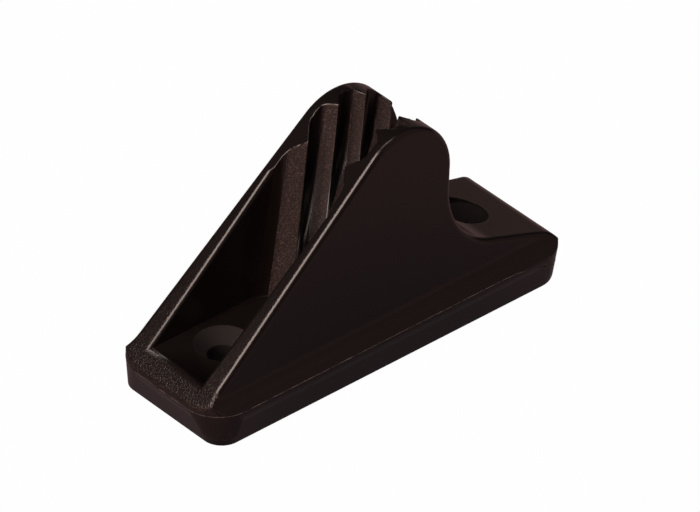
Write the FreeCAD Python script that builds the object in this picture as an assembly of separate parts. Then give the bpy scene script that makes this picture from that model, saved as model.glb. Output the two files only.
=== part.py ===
import FreeCAD, Part
import math
import os
from FreeCAD import Vector

# Jam cleat for small line, moulded in one piece.
# X runs from the nose to the tail, Y across the channel, Z up from the mounting face.
# Sizes are in millimetres and angles in degrees.
# The cleat is drawn from the nose tip and moved to the centre of its base at the end.

# Foot, from the mounting face up to the widest line round the cleat
length = 66.0
foot_width = 21.9
split_width = 22.9
split_height = 5.0
nose_undercut = 1.3
tail_undercut = 0.3
foot_nose_corner = 3.1
foot_tail_corner = 4.5
split_nose_corner = 5.75
split_tail_corner = 4.1
heel_radius = 3.5

# Side walls and the skirt that spreads them onto the foot
wall_width = 18.6
wall_draft = 3.1
skirt_tilt = 57.0
skirt_blend = 3.0
outer_edge_radius = 0.9

# Side view
nose_lip = 0.7
nose_radius = 1.4
ramp_angle = 40.2
back_foot = 44.0
back_lean = 5.5
crown_radius = 8.4
sweep_radius = 11.5
tail_height = 6.5
tail_slope = 18.5
tail_radius = 4.0

# Open channel between the nose and the jaws
channel_floor = 7.8
channel_width = 11.0
channel_draft = 2.2
channel_corner = 1.5

# Jaws, measured on the channel floor where the first teeth start
jaw_start = 24.25
jaw_lead = 1.0
jaw_lead_growth = 0.03
jaw_lean = 14.5
jaw_slope = 9.5
jaw_taper = 6.1
jaw_gap = 1.1

# Teeth along each jaw
tooth_count = 4
tooth_pitch = 4.67
tooth_depth = 2.0
tooth_back = 1.5
tooth_face = 1.05

# Screw holes, front and rear
screw_bore = 4.5
head_width = 8.4
head_angle = 90.0
front_screw = 11.2
screw_spacing = 43.8
rear_head_height = 8.6

# How far cutting shapes reach past the body
spare = 5.0


def tan(angle):
    return math.tan(math.radians(angle))


def meet(first, first_angle, second, second_angle):
    """Point where two straight lines in one plane cross."""
    a = math.radians(first_angle)
    b = math.radians(second_angle)
    gap = (second[0] - first[0], second[1] - first[1])
    cross = math.sin(b) * math.cos(a) - math.cos(b) * math.sin(a)
    run = (gap[0] * math.sin(b) - gap[1] * math.cos(b)) / cross
    return (first[0] + run * math.cos(a), first[1] + run * math.sin(a))


def corner_arc(before, corner, after, radius):
    """Start, middle and end of the arc that rounds one corner."""
    to_before = (before - corner).normalize()
    to_after = (after - corner).normalize()
    half = to_before.getAngle(to_after) / 2
    reach = radius / math.tan(half)
    middle_way = (to_before + to_after).normalize()
    centre = corner + middle_way * (radius / math.sin(half))
    start = corner + to_before * reach
    end = corner + to_after * reach
    return start, centre - middle_way * radius, end


def outline(corners, place):
    """Closed wire through corners given as (a, b, radius), rounded where the radius is set."""
    points = [place(a, b) for a, b, radius in corners]
    edges = []
    ends = []
    for i, point in enumerate(points):
        radius = corners[i][2]
        if radius > 0:
            arc = corner_arc(points[i - 1], point, points[(i + 1) % len(points)], radius)
            edges.append(Part.Arc(*arc).toShape())
            ends.append((arc[0], arc[2]))
        else:
            ends.append((point, point))
    for i, end in enumerate(ends):
        following = ends[(i + 1) % len(ends)][0]
        if end[1].distanceToPoint(following) > 1e-6:
            edges.append(Part.LineSegment(end[1], following).toShape())
    return Part.Wire(Part.__sortEdges__(edges))


def crown_corner():
    """Corner of the ramp and the back of the jaws, before it is rounded."""
    return meet((0, split_height + nose_lip), ramp_angle, (back_foot, 0), 90 - back_lean)


def top_height():
    """A height that clears the whole cleat."""
    return crown_corner()[1] + spare


def side_view(nose_foot, tail_foot):
    """Side view of the cleat, pulled across its width, over the given corners at the foot."""
    crown = crown_corner()
    sweep = meet((back_foot, 0), 90 - back_lean, (length, tail_height), 180 - tail_slope)
    top = [
        (0, split_height + nose_lip, 0),
        (crown[0], crown[1], crown_radius),
        (sweep[0], sweep[1], sweep_radius),
        (length, tail_height, tail_radius),
    ]
    half = split_width
    wire = outline(nose_foot + top + tail_foot, lambda x, z: Vector(x, -half, z))
    return Part.Face(wire).extrude(Vector(0, 2 * half, 0))


def end_view():
    """Leaning walls over a flared skirt, pulled along the cleat."""
    edge = (split_width / 2, split_height)
    wall = (wall_width / 2, split_height)
    knee = meet(edge, 90 + skirt_tilt, wall, 90 + wall_draft)
    below = edge[0] + (split_height + spare) * tan(skirt_tilt)
    above = wall[0] - (top_height() - split_height) * tan(wall_draft)
    right = [(below, -spare, 0), (knee[0], knee[1], skirt_blend), (above, top_height(), 0)]
    left = [(-y, z, radius) for y, z, radius in reversed(right)]
    wire = outline(right + left, lambda y, z: Vector(-spare, y, z))
    return Part.Face(wire).extrude(Vector(length + 2 * spare, 0, 0))


def plan(start, end, width, nose_corner, tail_corner, height):
    """Rounded rectangle seen from above."""
    corners = [
        (start, -width / 2, nose_corner),
        (end, -width / 2, tail_corner),
        (end, width / 2, tail_corner),
        (start, width / 2, nose_corner),
    ]
    return outline(corners, lambda x, y: Vector(x, y, height))


def split_plan():
    return plan(0, length, split_width, split_nose_corner, split_tail_corner, split_height)


def foot():
    """Tapered foot, narrower at the mounting face, with its heel rounded up at the tail."""
    bottom = plan(nose_undercut, length - tail_undercut, foot_width, foot_nose_corner, foot_tail_corner, 0)
    block = Part.makeLoft([bottom, split_plan()], True, True)
    return block.common(side_view([(nose_undercut, 0, 0), (0, split_height, 0)], [(length, 0, heel_radius)]))


def on_ramp(vertex):
    """True on the plane that climbs from the nose."""
    return abs(vertex.Z - split_height - nose_lip - vertex.X * tan(ramp_angle)) < 1e-4


def on_plan(vertex):
    """True above the widest line round the cleat."""
    return split_plan().distToShape(Part.Vertex(vertex.X, vertex.Y, split_height))[0] < 1e-4


def edge_radii(solid):
    """Edges of the ramp to round, each with its number and the radius at its two ends."""
    radii = []
    for number, edge in enumerate(solid.Edges, 1):
        first, last = edge.Vertexes[0], edge.Vertexes[-1]
        if not (on_ramp(first) and on_ramp(last)):
            continue
        if on_plan(first) and on_plan(last):
            radii.append((number, nose_or_side(first, last), nose_or_side(last, first)))
        elif min(first.X, last.X) < split_nose_corner:
            radii.append((number, outer_edge_radius, outer_edge_radius))
    return radii


def nose_or_side(vertex, other):
    """Radius at one end of an edge round the nose: that of the sides where it meets them."""
    return outer_edge_radius if abs(vertex.Y) > abs(other.Y) + 1e-4 else nose_radius


def rounded(solid):
    """The solid with its top edges rounded in one step, from the nose along both sides to the tail."""
    document = FreeCAD.newDocument()
    base = document.addObject("Part::Feature")
    base.Shape = solid
    fillet = document.addObject("Part::Fillet")
    fillet.Base = base
    fillet.Edges = edge_radii(solid)
    document.recompute()
    return fillet.Shape


def walls():
    """Everything above the widest line, still without its channel."""
    block = end_view().common(side_view([(0, -spare, 0)], [(length, -spare, 0)]))
    return rounded(block.common(Part.Face(split_plan()).extrude(Vector(0, 0, top_height()))))


def crest_x(number, height):
    """Where a tooth's crest stands at one height: the crests lean back towards the tail."""
    return jaw_start + number * tooth_pitch + (height - channel_floor) * tan(jaw_lean)


def jaw_half(x, height):
    """Half of the gap between the crests: it grows with height and closes in towards the tail."""
    return jaw_gap / 2 + (height - channel_floor) * tan(jaw_slope) - (x - jaw_start) * tan(jaw_taper)


def slot_floor(x):
    """Height at which the gap between the crests is as narrow as at the start of the slot."""
    return channel_floor + (x - jaw_start) * tan(jaw_taper) / tan(jaw_slope)


def channel():
    """Open channel with rounded floor corners, closing in on the first crests."""
    rise = top_height() - channel_floor
    half = channel_width / 2
    wide = half + rise * tan(channel_draft)
    corners = [
        (-half, channel_floor, channel_corner),
        (half, channel_floor, channel_corner),
        (wide, top_height(), 0),
        (-wide, top_height(), 0),
    ]
    section = outline(corners, lambda y, z: Vector(-spare, y, z))
    run = Part.Face(section).extrude(Vector(length, 0, 0))
    return run.common(Part.makeLoft([mouth(channel_floor), mouth(top_height())], True, True))


def mouth(height):
    """Plan of the channel at one height, with each side carried on past the channel's wall."""
    crest = crest_x(0, height)
    lead = jaw_lead + (height - channel_floor) * jaw_lead_growth
    wall = channel_width / 2 + (height - channel_floor) * tan(channel_draft)
    outer = 2 * wall - jaw_half(crest, height)
    side = [(-spare, outer), (crest - 2 * lead, outer), (crest, jaw_half(crest, height))]
    points = [Vector(x, y, height) for x, y in side]
    points += [Vector(x, -y, height) for x, y in reversed(side)]
    return Part.makePolygon(points + points[:1])


def slot():
    """Narrow gap between the jaws with its teeth, over a floor that rises to the tail."""
    gap = Part.makeLoft([gap_section(jaw_start), gap_section(slot_end())], True, True)
    teeth = [tooth_gap(number, side) for number in range(tooth_count) for side in (-1, 1)]
    return gap.fuse(teeth).common(above_slot_floor())


def slot_end():
    """A place behind the back of the jaws."""
    return back_foot + top_height() * tan(back_lean)


def gap_section(x):
    """Section across the gap at one place, down to where its two sides meet."""
    high = top_height()
    half = jaw_half(x, high)
    meeting = slot_floor(x) - jaw_gap / 2 / tan(jaw_slope)
    points = [Vector(x, 0, meeting), Vector(x, half, high), Vector(x, -half, high)]
    return Part.makePolygon(points + points[:1])


def tooth_gap(number, side):
    """Groove behind one crest, which leans with the crest and opens with the jaws."""
    low = channel_floor
    shape = [(0, -jaw_gap), (0, 0), (tooth_back, tooth_depth), (tooth_pitch - tooth_face, tooth_depth),
             (tooth_pitch, 0), (tooth_pitch, -jaw_gap)]
    points = []
    for along, deep in shape:
        x = crest_x(number, low) + along
        points.append(Vector(x, side * (jaw_half(x, low) + deep), low))
    spread = tan(jaw_slope) - tan(jaw_taper) * tan(jaw_lean)
    lean = Vector(tan(jaw_lean), side * spread, 1) * (top_height() - low)
    return Part.Face(Part.makePolygon(points + points[:1])).extrude(lean)


def above_slot_floor():
    """Space above the rising floor of the slot."""
    start, end = jaw_start, slot_end() + spare
    side = [(start, slot_floor(start)), (end, slot_floor(end)), (end, 2 * top_height()), (start, 2 * top_height())]
    points = [Vector(x, -split_width, z) for x, z in side]
    return Part.Face(Part.makePolygon(points + points[:1])).extrude(Vector(0, 2 * split_width, 0))


def screw_hole(place, head_height):
    """Bore with a cone for the screw's head and a straight well above it."""
    depth = (head_width - screw_bore) / 2 / tan(head_angle / 2)
    bore = Part.makeCylinder(screw_bore / 2, head_height + spare, Vector(place, 0, -spare))
    cone = Part.makeCone(screw_bore / 2, head_width / 2, depth, Vector(place, 0, head_height - depth))
    well = Part.makeCylinder(head_width / 2, top_height(), Vector(place, 0, head_height))
    return bore.fuse([cone, well])


body = foot().fuse(walls()).removeSplitter()
body = body.cut([channel(), slot()])
body = body.cut([screw_hole(front_screw, channel_floor), screw_hole(front_screw + screw_spacing, rear_head_height)])
body.translate(Vector(-length / 2, 0, 0))

os.makedirs("parts", exist_ok=True)
body.exportStep("parts/cleat_body.step")
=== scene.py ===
import bpy
import bmesh
import math
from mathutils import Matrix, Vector


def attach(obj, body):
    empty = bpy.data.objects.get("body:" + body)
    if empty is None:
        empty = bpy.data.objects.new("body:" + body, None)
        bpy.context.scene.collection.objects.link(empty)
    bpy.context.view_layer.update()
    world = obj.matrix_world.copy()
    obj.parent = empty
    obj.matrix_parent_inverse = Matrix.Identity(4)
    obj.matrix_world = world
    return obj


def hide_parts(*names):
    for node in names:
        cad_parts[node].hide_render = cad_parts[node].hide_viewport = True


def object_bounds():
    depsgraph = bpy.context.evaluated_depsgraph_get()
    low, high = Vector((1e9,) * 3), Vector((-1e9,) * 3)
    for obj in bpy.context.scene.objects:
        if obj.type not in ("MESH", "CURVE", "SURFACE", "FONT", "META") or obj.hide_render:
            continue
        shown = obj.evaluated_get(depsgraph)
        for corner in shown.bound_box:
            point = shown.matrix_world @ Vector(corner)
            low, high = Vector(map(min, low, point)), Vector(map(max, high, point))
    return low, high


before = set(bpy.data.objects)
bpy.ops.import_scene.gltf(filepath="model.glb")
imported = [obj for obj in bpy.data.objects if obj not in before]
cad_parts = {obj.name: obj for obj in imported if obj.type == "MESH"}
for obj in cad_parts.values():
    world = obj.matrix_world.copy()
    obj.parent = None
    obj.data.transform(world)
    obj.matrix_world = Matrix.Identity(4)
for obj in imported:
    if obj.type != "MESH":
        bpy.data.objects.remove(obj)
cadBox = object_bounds()
mm = 0.001


def linear(code):
    # sRGB hex to the linear values that the shader wants
    parts = [int(code[i:i + 2], 16) / 255 for i in (1, 3, 5)]
    return tuple(p / 12.92 if p <= 0.04045 else ((p + 0.055) / 1.055) ** 2.4 for p in parts) + (1.0,)


def addNode(tree, kind, settings=None, links=None):
    # one node: settings by property, input name or input number, links as input -> output socket
    node = tree.nodes.new(kind)
    for name, value in (settings or {}).items():
        if isinstance(name, int) or name in node.inputs:
            node.inputs[name].default_value = value
        else:
            setattr(node, name, value)
    for name, socket in (links or {}).items():
        tree.links.new(socket, node.inputs[name])
    return node


def emptyMaterial(name):
    material = bpy.data.materials.new(name)
    material.use_nodes = True
    material.node_tree.nodes.clear()
    return material, material.node_tree


def placed(name, data):
    # a new object in the scene
    thing = bpy.data.objects.new(name, data)
    bpy.context.collection.objects.link(thing)
    return thing


def applied(piece):
    # the evaluated mesh in place of the live modifiers
    evaluated = piece.evaluated_get(bpy.context.evaluated_depsgraph_get())
    mesh = bpy.data.meshes.new_from_object(evaluated)
    mesh.name = piece.name
    piece.modifiers.clear()
    piece.data = mesh
    return piece


def fade(value, low, high):
    # 0 up to low, 1 from high, and even in between
    return min(max((value - low) / (high - low), 0.0), 1.0)


def between(value, ends):
    return ends[0] < value < ends[1]


# nylon with glass fibre and carbon black, injection moulded
mouldedNylon = {
    "colour": "#151212",        # near-black
    "colourFar": "#1a1615",     # the same where the pigment reads a little browner
    # the crests' paler colour is partly the grain's own and partly a painted sheen for the light that lit
    # eroded faces scatter
    "colourGrainSheen": "#483c38",   # the crests between erosion pits, which scatter light and look greyer
    "patchSize": 9.0,           # mm across one soft patch of colour
    "polishRough": 0.22,        # faces that the tool left smooth
    "erodedRough": 0.55,        # faces that the tool's spark erosion left grainy
    "dullRough": 0.85,          # the screw holes, which the polish of the tool doesn't reach
    "grainSize": 0.25,          # mm, erosion pits, drawn coarser than real so that they show
    "grainCrest": (0.46, 0.66),     # values of the noise where a crest starts and where it is full
    "grainDepth": 0.08,         # mm
    "rippleSize": 3.2,          # mm, faint flow and sink waves on the smooth faces
    "rippleDepth": 0.008,       # mm
    "edgeGlow": 0.15,           # mm, over which the shading turns round an edge
    "ior": 1.53,                # nylon's
}


def mouldedNylonMaterial():
    # smooth faces have a soft gloss with faint waves, eroded faces a grainy satin whose paler crests are
    # partly a painted sheen
    finish = mouldedNylon
    material, tree = emptyMaterial("mouldedNylon")
    place = addNode(tree, "ShaderNodeTexCoord").outputs["Object"]
    eroded = addNode(tree, "ShaderNodeAttribute", {"attribute_name": "eroded"}).outputs["Fac"]
    dull = addNode(tree, "ShaderNodeAttribute", {"attribute_name": "dull"}).outputs["Fac"]

    # the height of the grain on the eroded faces, which also sets where the paler crests put their painted
    # sheen
    grain = addNode(tree, "ShaderNodeTexNoise", {"Scale": 1 / (finish["grainSize"] * mm), "Detail": 1.0},
                    {"Vector": place})
    start, full = finish["grainCrest"]
    crests = addNode(tree, "ShaderNodeMapRange", {"From Min": start, "From Max": full},
                     {"Value": grain.outputs["Fac"]})
    grainAndSheen = addNode(tree, "ShaderNodeMath", {"operation": "MULTIPLY"}, {0: crests.outputs[0], 1: eroded})

    patches = addNode(tree, "ShaderNodeTexNoise", {"Scale": 1 / (finish["patchSize"] * mm), "Detail": 3.0},
                      {"Vector": place})
    colour = addNode(tree, "ShaderNodeMix",
                     {"data_type": "RGBA", 6: linear(finish["colour"]), 7: linear(finish["colourFar"])},
                     {0: patches.outputs["Fac"]})
    # the crests take the paler colour: the grain's own tone with a painted sheen
    surface = addNode(tree, "ShaderNodeMix", {"data_type": "RGBA", 7: linear(finish["colourGrainSheen"])},
                      {0: grainAndSheen.outputs[0], 6: colour.outputs[2]})

    rounded = addNode(tree, "ShaderNodeBevel", {"samples": 8, "Radius": finish["edgeGlow"] * mm})
    ripple = addNode(tree, "ShaderNodeTexNoise", {"Scale": 1 / (finish["rippleSize"] * mm), "Detail": 2.0},
                     {"Vector": place})
    waves = addNode(tree, "ShaderNodeBump", {"Strength": 1.0, "Distance": finish["rippleDepth"] * mm},
                    {"Height": ripple.outputs["Fac"], "Normal": rounded.outputs[0]})
    texture = addNode(tree, "ShaderNodeBump", {"Strength": 1.0, "Distance": finish["grainDepth"] * mm},
                      {"Height": grainAndSheen.outputs[0], "Normal": waves.outputs[0]})

    gloss = addNode(tree, "ShaderNodeMapRange",
                    {"To Min": finish["polishRough"], "To Max": finish["erodedRough"]}, {"Value": eroded})
    rough = addNode(tree, "ShaderNodeMix", {3: finish["dullRough"]}, {0: dull, 2: gloss.outputs[0]})
    shader = addNode(tree, "ShaderNodeBsdfPrincipled", {"IOR": finish["ior"]},
                     {"Base Color": surface.outputs[2], "Roughness": rough.outputs[0],
                      "Normal": texture.outputs[0]})
    addNode(tree, "ShaderNodeOutputMaterial", None, {"Surface": shader.outputs[0]})
    return material


# the solid's own edges are softened, and its spark-eroded faces are marked for the material;
# lengths are in mm and angles in degrees
# the eroded marks also place the painted sheen of the grain's paler crests
mouldingFinish = {
    # what is tidied before anything is softened
    "mergeReach": 0.002,        # vertices nearer to each other than this are merged
    "flatAngle": 0.2,           # faces that turn less than this become one
    "floorCorner": 1.5,         # radius of the corners along the channel's floor in the solid
    "cornerAlong": (-31.0, -8.0),   # where they run
    "cornerAside": (4.04, 5.6),     # and how far from the middle
    "cornerEnds": ((-30.51, 5.5), (-9.75, 5.5)),    # where they would start and end if they were sharp
    "sinkAlong": (-25.0, -18.0),    # where the front countersink cuts into them
    "sinkSliver": 0.22,         # length of the slivers that they leave on its rim
    "slack": 0.01,              # how closely places are compared

    # how far each kind of edge is rounded, and in how many steps
    "leadBlend": (2.3, 6),      # where the channel's wall runs onto the first tooth
    "rootBlend": (0.9, 4),      # in the roots of the teeth
    "rimBreak": (0.7, 4),       # on the rims of the walls
    "toothBreak": (0.18, 2),    # on the crests of the teeth
    "footBreak": (0.12, 2),     # on the edges of the foot

    # which edges these are
    "edgeAngle": 28.0,          # an edge is rounded when it is sharper than this
    "soleHeight": 0.1,          # and doesn't lie wholly below this
    "uprightShare": 0.85,       # a tooth's edge rises by at least this share of its length
    "leadGap": 0.6,             # the lead ends and the roots start this far before the first crest
    "crestsFrom": -7.0,         # the crests lie behind this
    "crestsAside": 6.5,         # and nearer to the middle than this
    "rimsFrom": 7.0,            # the rims lie above this
    "rimsAside": 8.5,           # or nearer to the middle than this
    "footReach": 29.0,          # the foot's edges lie nearer to the middle than this
    "floorEdge": 0.05,          # an edge is on the channel's floor when it is this close
    "screws": (-21.8, 22.0),    # places of the two screw holes
    "screwClear": 4.6,          # within this of them an edge stays crisp

    # where the jaws are
    "firstCrest": (-8.75, 7.8),     # where the first crest stands on the channel's floor, along and up
    "crestLean": 14.5,          # how far the crests lean back
    "crestSlack": 0.3,          # what is this little behind it still counts as before it
    "jawsFrom": -12.0,          # the jaws lie behind this
    "jawsAside": 7.0,           # and nearer to the middle than this
    "jawsAbove": 9.0,           # and above this
    "gapAside": 6.6,            # the same two for what is before the first crest
    "gapAbove": 8.0,
    "firstLandNose": -0.6,      # the first land looks at the nose by more than this share
    "firstLandTilt": 0.4,       # and up or down by less than this

    # which faces are eroded, and so where the paler crests put their painted sheen
    "noseShare": 0.34,          # how strongly the nose and the tops are eroded, next to the lands
    "noseFrom": -30.0,          # the nose's face lies before this
    "noseAbove": 5.1,           # and above this
    "noseFacing": -0.3,         # and looks forward by more than this share
    "rampAngle": 40.2,          # slope of the tops of the walls
    "rampMatch": 0.98,          # how well a top faces that way
    # on the tops the grain and its painted sheen fade out with height, so the tops are drawn darker higher
    # up
    "rampFade": (6.0, 13.0),    # heights over which the grain on the tops fades out
    "topAside": 0.2,            # a top looks aside by less than this share
    "topUp": 0.5,               # and up by more than this
    # the grain and its painted sheen fade in as a face turns this way, so the lands that face the light
    # come out paler
    "landFacing": (-0.87, 0.45),    # the lands of the teeth look at the nose and across the gap
    "landMatch": (0.88, 0.95),  # how well a face has to match for the grain to fade in
    "leadMatch": (0.88, 0.97),  # the same at the top of the first land
    "leadRise": (10.0, 30.0),   # heights over which the first land goes from the one to the other
    "grainTurn": 12.0,          # faces that turn less than this run their grain together

    # which faces are dull
    "wellReach": 4.4,           # those this near to a screw's middle
    "wellFacing": 0.97,         # that don't look straighter up than this
}


def middleOf(edge):
    # in mm
    return (edge.verts[0].co + edge.verts[1].co) / 2 / mm


def firstCrestAt(height):
    # how far along the part the first crest is at this height
    along, floor = mouldingFinish["firstCrest"]
    return along + (height - floor) * math.tan(math.radians(mouldingFinish["crestLean"]))


def hardEdges(work):
    # the sharp edges between two faces, but for those of the sole
    limit = math.radians(mouldingFinish["edgeAngle"])
    sole = mouldingFinish["soleHeight"] * mm
    return [e for e in work.edges if len(e.link_faces) == 2 and e.calc_face_angle() > limit
            and max(v.co.z for v in e.verts) > sole]


def atScrew(edge):
    # the edge is a rim of a screw hole
    middle = middleOf(edge)
    nearest = min(math.dist(middle.xy, (x, 0)) for x in mouldingFinish["screws"])
    return nearest < mouldingFinish["screwClear"]


def soften(work, edges, blend):
    # rounds those of the edges that an earlier rounding has left
    reach, steps = blend
    left = [e for e in edges if e.is_valid]
    bmesh.ops.bevel(work, geom=left, offset=reach * mm, segments=steps, profile=0.5, affect="EDGES",
                    clamp_overlap=False)


def besideFirstCrest(face):
    # the face lies in a jaw, on the nose's side of the first crest
    finish = mouldingFinish
    middle = face.calc_center_median() / mm
    along = (finish["jawsFrom"], firstCrestAt(middle.z) + finish["crestSlack"])
    return between(middle.x, along) and abs(middle.y) < finish["gapAside"] and middle.z > finish["gapAbove"]


def erodedShare(face):
    # 1 where the tool's surface was spark eroded: the nose, the low part of the tops and the lands; the
    # same share places the painted sheen on the grain's crests
    finish = mouldingFinish
    middle = face.calc_center_median() / mm
    if (middle.x < finish["noseFrom"] and middle.z > finish["noseAbove"]
            and face.normal.x < finish["noseFacing"]):
        return finish["noseShare"]
    slope = math.radians(finish["rampAngle"])
    if face.normal.dot(Vector((-math.sin(slope), 0, math.cos(slope)))) > finish["rampMatch"]:
        return finish["noseShare"]
    if (middle.x > finish["jawsFrom"] and abs(middle.y) < finish["jawsAside"]
            and middle.z > finish["jawsAbove"]):
        forward, across = finish["landFacing"]
        land = Vector((forward, -math.copysign(across, middle.y), 0)).normalized()
        up = fade(middle.z, *finish["leadRise"]) if besideFirstCrest(face) else 0.0
        low, high = (a + (b - a) * up for a, b in zip(finish["landMatch"], finish["leadMatch"]))
        return fade(face.normal.dot(land), low, high)
    return 0.0


def dullShare(face):
    # 1 on the walls of the screw holes
    finish = mouldingFinish
    corners = [v.co.xy / mm for v in face.verts]
    inHole = any(all(math.dist(c, (x, 0)) < finish["wellReach"] for c in corners) for x in finish["screws"])
    return 1.0 if inHole and face.normal.z < finish["wellFacing"] else 0.0


def sharpenFloorCorners(work):
    # the long corners of the channel's floor are drawn sharp, because round they catch the light
    finish = mouldingFinish
    floor = finish["firstCrest"][1]
    upright = (floor - finish["slack"], floor + finish["floorCorner"])
    sinkRim, corners = [], []
    for vert in work.verts:
        x, y, z = vert.co / mm
        inCorner = between(abs(y), finish["cornerAside"]) and between(z, upright)
        if not (inCorner and between(x, finish["cornerAlong"])):
            continue
        if between(x, finish["sinkAlong"]):
            vert.co.z = floor * mm
            sinkRim.append(vert)
        else:
            along, aside = finish["cornerEnds"][0 if x < finish["sinkAlong"][0] else 1]
            vert.co = Vector((along, math.copysign(aside, y), floor)) * mm
            corners.append(vert)
    bmesh.ops.remove_doubles(work, verts=sinkRim, dist=finish["sinkSliver"] * mm)
    bmesh.ops.remove_doubles(work, verts=corners, dist=finish["slack"] * mm)


def joinFirstLands(work):
    # the land before each first crest becomes one face, so that its edges round evenly
    finish = mouldingFinish
    lands = {f for f in work.faces if f.normal.x < finish["firstLandNose"]
             and abs(f.normal.z) < finish["firstLandTilt"] and besideFirstCrest(f)}
    inside = [e for e in work.edges if len(e.link_faces) == 2 and all(f in lands for f in e.link_faces)]
    bmesh.ops.dissolve_edges(work, edges=inside, use_verts=True)


def roundInnerCorners(work):
    # between the teeth, and where the channel's wall runs onto the first one
    finish = mouldingFinish
    lead, roots = [], []
    for edge in hardEdges(work):
        middle = middleOf(edge)
        rise = abs((edge.verts[1].co - edge.verts[0].co).normalized().z)
        if edge.is_convex or rise <= finish["uprightShare"] or middle.x <= finish["jawsFrom"]:
            continue
        (lead if middle.x < firstCrestAt(middle.z) - finish["leadGap"] else roots).append(edge)
    soften(work, lead, finish["leadBlend"])
    soften(work, roots, finish["rootBlend"])


def breakOuterEdges(work):
    # the rims of the walls, the crests of the teeth and the edges of the foot
    finish = mouldingFinish
    rims, crests, foot = [], [], []
    for edge in hardEdges(work):
        if atScrew(edge) or not edge.is_convex:
            continue
        x, y, z = middleOf(edge)
        if x > finish["crestsFrom"] and abs(y) < finish["crestsAside"]:
            crests.append(edge)
        elif z > finish["rimsFrom"] or abs(y) < finish["rimsAside"]:
            rims.append(edge)
        elif abs(x) < finish["footReach"]:
            foot.append(edge)
    soften(work, rims, finish["rimBreak"])
    soften(work, crests, finish["toothBreak"])
    soften(work, foot, finish["footBreak"])


def keepCrisp(work):
    # the rims of the screw holes and the corners of the channel's floor are shaded sharp
    floor, reach = mouldingFinish["firstCrest"][1], mouldingFinish["floorEdge"]
    for edge in hardEdges(work):
        onFloor = all(abs(v.co.z / mm - floor) < reach for v in edge.verts)
        edge.smooth = not (atScrew(edge) or onFloor and not edge.is_convex)


def sortFaces(work):
    # rounding leaves the faces in another order each run, so they are put in that of their vertices
    work.verts.index_update()
    count = len(work.verts)

    def rank(face):
        first, second, third = sorted(v.index for v in face.verts)[:3]
        return (first * count + second) * count + third

    work.faces.sort(key=rank)


def markFinish(work):
    # tells the material how eroded and how dull each corner of each face is; the eroded share also places
    # the painted sheen, faded out higher on the tops
    finish = mouldingFinish
    eroded = work.loops.layers.float.new("eroded")
    dull = work.loops.layers.float.new("dull")
    work.faces.index_update()
    work.normal_update()
    shares = [erodedShare(face) for face in work.faces]
    near = math.cos(math.radians(finish["grainTurn"]))
    for face in work.faces:
        face.smooth = True
        onTop = abs(face.normal.y) < finish["topAside"] and face.normal.z > finish["topUp"]
        dullness = dullShare(face)
        for corner in face.loops:
            around = [shares[f.index] for f in corner.vert.link_faces if f.normal.dot(face.normal) > near]
            # the painted sheen on the tops fades out with height here
            height = fade(corner.vert.co.z / mm, *finish["rampFade"])
            corner[eroded] = sum(around) / max(len(around), 1) * (1 - height if onTop else 1)
            corner[dull] = dullness


def cleatMoulding(material):
    # a merged copy of the solid, with softened edges and its eroded faces marked
    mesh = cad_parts["cleat_body"].data.copy()
    mesh.name = "cleatMoulding"
    work = bmesh.new()
    work.from_mesh(mesh)
    bmesh.ops.remove_doubles(work, verts=work.verts, dist=mouldingFinish["mergeReach"] * mm)
    flat = math.radians(mouldingFinish["flatAngle"])
    bmesh.ops.dissolve_limit(work, angle_limit=flat, verts=work.verts, edges=work.edges)
    sharpenFloorCorners(work)
    joinFirstLands(work)
    roundInnerCorners(work)
    breakOuterEdges(work)
    keepCrisp(work)
    sortFaces(work)
    markFinish(work)
    work.to_mesh(mesh)
    work.free()
    mesh.materials.clear()
    mesh.materials.append(material)
    piece = placed("cleatMoulding", mesh)
    weighted = piece.modifiers.new("flatFaces", "WEIGHTED_NORMAL")
    weighted.keep_sharp = True
    piece = applied(piece)
    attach(piece, "root")
    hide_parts("cleat_body")
    return piece


# the thin flash where the two halves of the tool met, drawn paler in patches as a painted highlight along
# the line
partingFlash = {
    # this paler colour is a painted highlight, not the flash's own colour
    "colour": "#857b78",
    "rough": 0.5,
    "height": 5.0,              # mm above the mounting face along the sides
    "tailHeight": 2.4,          # mm where the line has dropped at the tail
    "dropFrom": 22.0,           # mm from the middle, where it starts to drop
    "noseCorner": 5.75,         # mm, radius of the corners in plan
    "tailCorner": 4.1,
    "cornerSteps": 8,
    "stretch": 2.0,             # mm between the points of the route, about
    "step": 0.25,               # mm between the points of the swept line
    "sides": 6,
    "thick": 0.08,              # mm, drawn a little thicker than real so that it shows
    "ragged": 1.0,              # share by which the thickness comes and goes
    "patch": 1.6,               # mm, length of one thick or thin stretch
    "patchEnds": (0.35, 0.65),  # values of the noise where it is thickest and where it is thinnest
    "seed": 7,
}


def flashPaintedHighlightMaterial():
    # the same nylon, with patches of a paler colour that are a painted highlight: it gives the eye a fine
    # broken light line
    material, tree = emptyMaterial("thinFlash")
    place = addNode(tree, "ShaderNodeTexCoord").outputs["Object"]
    # noise patches where the painted highlight shows
    highlightPatches = addNode(tree, "ShaderNodeTexNoise", {"Scale": 1 / (partingFlash["patch"] * mm), "Detail": 3.0},
                     {"Vector": place})
    ends = {6: linear(mouldedNylon["colour"]), 7: linear(partingFlash["colour"])}
    colour = addNode(tree, "ShaderNodeMix", {"data_type": "RGBA", **ends}, {0: highlightPatches.outputs["Fac"]})
    shader = addNode(tree, "ShaderNodeBsdfPrincipled",
                     {"IOR": mouldedNylon["ior"], "Roughness": partingFlash["rough"]},
                     {"Base Color": colour.outputs[2]})
    addNode(tree, "ShaderNodeOutputMaterial", None, {"Surface": shader.outputs[0]})
    return material


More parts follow.
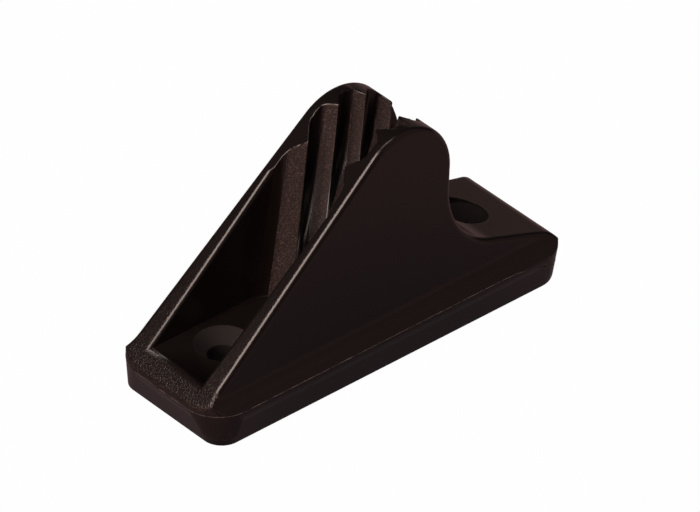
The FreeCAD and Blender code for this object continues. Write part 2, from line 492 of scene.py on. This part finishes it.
def splitRoute():
    # round the outline at the split, level along the sides and lower at the tail
    flash = partingFlash
    halfLong, halfWide = cadBox[1][0] / mm, cadBox[1][1] / mm
    points = []
    for sideX, sideY, turn in ((1, 1, 0), (-1, 1, 90), (-1, -1, 180), (1, -1, 270)):
        radius = flash["tailCorner"] if sideX > 0 else flash["noseCorner"]
        for step in range(flash["cornerSteps"] + 1):
            angle = math.radians(turn + 90 * step / flash["cornerSteps"])
            points.append((sideX * (halfLong - radius) + radius * math.cos(angle),
                           sideY * (halfWide - radius) + radius * math.sin(angle)))
    route = []
    for (x0, y0), (x1, y1) in zip(points, points[1:] + points[:1]):
        count = max(1, round(math.dist((x0, y0), (x1, y1)) / flash["stretch"]))
        for step in range(count):
            x, y = x0 + (x1 - x0) * step / count, y0 + (y1 - y0) * step / count
            drop = fade(x, flash["dropFrom"], halfLong)
            z = flash["height"] + (flash["tailHeight"] - flash["height"]) * drop * drop * (3 - 2 * drop)
            route.append(Vector((x, y, z)) * mm)
    return route


def partingFlashTree():
    # the route is laid onto the body and swept with a profile whose size comes and goes
    flash = partingFlash
    tree = bpy.data.node_groups.new("partingFlash", "GeometryNodeTree")
    tree.interface.new_socket("Geometry", in_out="INPUT", socket_type="NodeSocketGeometry")
    kinds = {"Body": "Object", "Thickness": "Float", "Raggedness": "Float", "Patch": "Float",
             "Step": "Float", "Seed": "Float", "Material": "Material"}
    sockets = {}
    for name, kind in kinds.items():
        socket = tree.interface.new_socket(name, in_out="INPUT", socket_type="NodeSocket" + kind)
        sockets[name] = socket.identifier
    tree.interface.new_socket("Geometry", in_out="OUTPUT", socket_type="NodeSocketGeometry")
    given = addNode(tree, "NodeGroupInput").outputs

    line = addNode(tree, "GeometryNodeMeshToCurve", None, {"Mesh": given["Geometry"]})
    dense = addNode(tree, "GeometryNodeResampleCurve", {"mode": "LENGTH"},
                    {"Curve": line.outputs[0], "Length": given["Step"]})
    body = addNode(tree, "GeometryNodeObjectInfo", None, {"Object": given["Body"]})
    surface = addNode(tree, "GeometryNodeProximity", {"target_element": "FACES"},
                      {0: body.outputs["Geometry"]})
    laid = addNode(tree, "GeometryNodeSetPosition", None,
                   {"Geometry": dense.outputs[0], "Position": surface.outputs["Position"]})

    place = addNode(tree, "GeometryNodeInputPosition")
    scale = addNode(tree, "ShaderNodeMath", {"operation": "DIVIDE", 0: 1.0}, {1: given["Patch"]})
    patches = addNode(tree, "ShaderNodeTexNoise", {"noise_dimensions": "4D", "Detail": 4.0},
                      {"Vector": place.outputs[0], "W": given["Seed"], "Scale": scale.outputs[0]})
    thickest, thinnest = flash["patchEnds"]
    spread = addNode(tree, "ShaderNodeMapRange", {"From Min": thickest, "From Max": thinnest},
                     {"Value": patches.outputs["Fac"]})
    thin = addNode(tree, "ShaderNodeMath", {"operation": "MULTIPLY"},
                   {0: spread.outputs[0], 1: given["Raggedness"]})
    left = addNode(tree, "ShaderNodeMath", {"operation": "SUBTRACT", 0: 1.0}, {1: thin.outputs[0]})
    size = addNode(tree, "ShaderNodeMath", {"operation": "MULTIPLY"},
                   {0: left.outputs[0], 1: given["Thickness"]})

    profile = addNode(tree, "GeometryNodeCurvePrimitiveCircle",
                      {"Resolution": flash["sides"], "Radius": 1.0})
    swept = addNode(tree, "GeometryNodeCurveToMesh", None,
                    {"Curve": laid.outputs[0], "Profile Curve": profile.outputs[0],
                     "Scale": size.outputs[0]})
    smooth = addNode(tree, "GeometryNodeSetShadeSmooth", None, {"Geometry": swept.outputs[0]})
    real = addNode(tree, "GeometryNodeRealizeInstances", None, {"Geometry": smooth.outputs[0]})
    dressed = addNode(tree, "GeometryNodeSetMaterial", None,
                      {"Geometry": real.outputs[0], "Material": given["Material"]})
    addNode(tree, "NodeGroupOutput", None, {"Geometry": dressed.outputs[0]})
    return tree, sockets


def partingFlashPiece(body, material):
    flash = partingFlash
    route = splitRoute()
    mesh = bpy.data.meshes.new("partingFlash")
    mesh.from_pydata(route, [(i, (i + 1) % len(route)) for i in range(len(route))], [])
    piece = placed("partingFlash", mesh)
    modifier = piece.modifiers.new("partingFlash", "NODES")
    tree, sockets = partingFlashTree()
    modifier.node_group = tree
    values = {"Body": body, "Thickness": flash["thick"] * mm, "Raggedness": flash["ragged"],
              "Patch": flash["patch"] * mm, "Step": flash["step"] * mm, "Seed": float(flash["seed"]),
              "Material": material}
    for name, value in values.items():
        modifier[sockets[name]] = value
    piece = applied(piece)
    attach(piece, "root")
    return piece


# a white table in a dim room, with large soft lights
studio = {
    "cameraFrom": (-0.5273, -0.6151, 0.5866),   # direction from the cleat to the camera
    "cameraDistance": 1.3158,                   # m
    "aimHeight": 10.0,                          # mm above the mounting face
    "lens": 481.1,                              # mm, on a sensor of this width
    "sensor": 36.0,
    "shift": (0.01246, 0.02081),
    "clip": (0.05, 20.0),                       # m
    "floorHalf": 3.0,                           # m
    "floorDrop": 0.1,                           # mm, just clear of the mounting face
    "floorSeen": "#fefefe",
    # the table's reflection is darker here than further out: painted shade standing in for the cleat's
    # shadow on the table
    "floorNearShade": "#605255",                     # what the cleat mirrors of the table beside it
    "floorAway": "#846866",                     # and further out
    "floorReach": (0.018, 0.06),                # m from the cleat's middle, from the one to the other
    "dimRoom": "#2c2b2b",
}

# place and aim in m, size in m, power in W, colour
softLights = {
    "topFront": ((-0.62, -0.06, 0.76), (0, 0, 0.015), (0.5, 0.5), 6.2, "#ffe6dc"),
    "overCrown": ((-0.05, -0.06, 1.0), (0.01, 0, 0.03), (0.5, 0.22), 1.0, "#ffeee7"),
    "lowFront": ((-0.3, -0.08, 0.09), (-0.02, 0, 0.015), (0.16, 0.1), 0.22, "#ffb8a6"),
    "behindTail": ((0.72, 0.56, 0.15), (0.02, 0, 0.01), (0.7, 0.45), 0.11, "#ffcabb"),
    "nearFill": ((0.53, -0.68, 0.42), (0, 0, 0.01), (1.2, 1.2), 0.6, "#ffc8c4"),
}


def paleFloorMaterial():
    # seen as white, and mirrored in the cleat as the dim table near it, darker close to the cleat as
    # painted shade
    material, tree = emptyMaterial("paleFloor")
    place = addNode(tree, "ShaderNodeTexCoord").outputs["Object"]
    away = addNode(tree, "ShaderNodeVectorMath", {"operation": "LENGTH"}, {0: place})
    # the painted shade fades out between these distances from the cleat
    near, far = studio["floorReach"]
    reach = addNode(tree, "ShaderNodeMapRange", {"From Min": near, "From Max": far},
                    {"Value": away.outputs["Value"]})
    ends = {6: linear(studio["floorNearShade"]), 7: linear(studio["floorAway"])}
    mirrored = addNode(tree, "ShaderNodeMix", {"data_type": "RGBA", **ends}, {0: reach.outputs[0]})
    ray = addNode(tree, "ShaderNodeLightPath")
    shade = addNode(tree, "ShaderNodeMix", {"data_type": "RGBA", 7: linear(studio["floorSeen"])},
                    {0: ray.outputs["Is Camera Ray"], 6: mirrored.outputs[2]})
    glow = addNode(tree, "ShaderNodeEmission", None, {"Color": shade.outputs[2]})
    addNode(tree, "ShaderNodeOutputMaterial", None, {"Surface": glow.outputs[0]})
    return material


def stageFloor():
    # the table that the cleat lies on
    half, low = studio["floorHalf"], -studio["floorDrop"] * mm
    corners = [(-half, -half, low), (half, -half, low), (half, half, low), (-half, half, low)]
    mesh = bpy.data.meshes.new("stageFloor")
    mesh.from_pydata(corners, [], [(0, 1, 2, 3)])
    mesh.materials.append(paleFloorMaterial())
    placed("stageFloor", mesh)


def lookAlong(thing, direction):
    thing.rotation_mode = "QUATERNION"
    thing.rotation_quaternion = direction.to_track_quat("-Z", "Y")


def softLight(name, place, aim, size, power, colour):
    lamp = bpy.data.lights.new(name, "AREA")
    lamp.shape = "RECTANGLE"
    lamp.size, lamp.size_y = size
    lamp.energy = power
    lamp.color = linear(colour)[:3]
    thing = placed(name, lamp)
    thing.location = place
    lookAlong(thing, Vector(aim) - Vector(place))


def dimRoom():
    world = bpy.data.worlds.new("studio")
    world.use_nodes = True
    world.node_tree.nodes["Background"].inputs[0].default_value = linear(studio["dimRoom"])
    bpy.context.scene.world = world
    bpy.context.scene.view_settings.view_transform = "Standard"


def camera():
    data = bpy.data.cameras.new("camera")
    data.sensor_width = studio["sensor"]
    data.lens = studio["lens"]
    data.shift_x, data.shift_y = studio["shift"]
    data.clip_start, data.clip_end = studio["clip"]
    back = Vector(studio["cameraFrom"]).normalized()
    thing = placed("camera", data)
    thing.location = Vector((0, 0, studio["aimHeight"] * mm)) + back * studio["cameraDistance"]
    lookAlong(thing, -back)
    bpy.context.scene.camera = thing


moulding = cleatMoulding(mouldedNylonMaterial())
print("moulding done, faces:", len(moulding.data.polygons))
flashLine = partingFlashPiece(moulding, flashPaintedHighlightMaterial())
print("parting flash done, faces:", len(flashLine.data.polygons))
stageFloor()
for lightName, values in softLights.items():
    softLight(lightName, *values)
dimRoom()
camera()
print("studio done")
